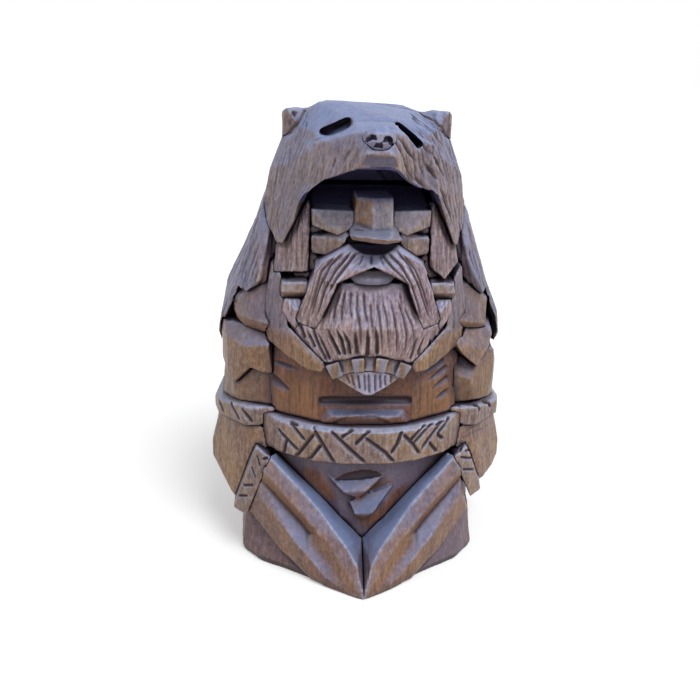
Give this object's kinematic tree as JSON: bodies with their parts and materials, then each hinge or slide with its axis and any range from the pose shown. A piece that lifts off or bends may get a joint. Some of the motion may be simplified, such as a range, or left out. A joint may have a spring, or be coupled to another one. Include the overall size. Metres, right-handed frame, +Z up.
{
  "type": "carved bearded figurine in a bear-skin hood",
  "caption": "Small carved standing figure of a bearded man in a bear-skin hood, with belted robe and arms that meet in a V at a flat base.",
  "frame": {"origin": "middle of the whole object's box, on the table that it stands on", "axes": "+Z up from the table to the bear's crown, the figure looks along -Y, and its left side is at +X"},
  "size_m": [0.054, 0.05, 0.08],
  "materials": {
    "pelt": "stained carved wood, satin, lighter along worn edges",
    "face": "stained carved wood, satin",
    "hair": "stained carved wood with long gouge strokes, satin",
    "sleeve": "stained knife-cut wood, satin to semi-gloss",
    "band": "stained wood with cut notches, satin",
    "robe": "darker stained wood, satin to semi-gloss"
  },
  "bodies": {
    "root": {"arm_band_left": "band", "arm_band_right": "band", "base": "robe", "bear_hood": "pelt", "bear_nose": "pelt", "beard": "hair", "beard_ring": "band", "beard_tip": "hair", "belt": "band", "brow_left": "face", "brow_right": "face", "cheek_left": "face", "cheek_right": "face", "collar_left": "sleeve", "collar_right": "sleeve", "ear_left": "pelt", "ear_right": "pelt", "face": "face", "forearm_left": "sleeve", "forearm_right": "sleeve", "hair_lock_left": "hair", "hair_lock_right": "hair", "hair_ring_left": "band", "hair_ring_right": "band", "hair_tail_left": "hair", "hair_tail_right": "hair", "hand_left": "sleeve", "hand_right": "sleeve", "lower_lip": "face", "moustache": "hair", "nose": "face", "pelt_back": "pelt", "pelt_side_left": "pelt", "pelt_side_right": "pelt", "shoulder_left": "sleeve", "shoulder_right": "sleeve", "skirt": "robe", "sleeve_lower_left": "sleeve", "sleeve_lower_right": "sleeve", "sleeve_upper_left": "sleeve", "sleeve_upper_right": "sleeve", "torso": "robe", "wrist_band_left": "band", "wrist_band_right": "band"}
  },
  "joints": []
}
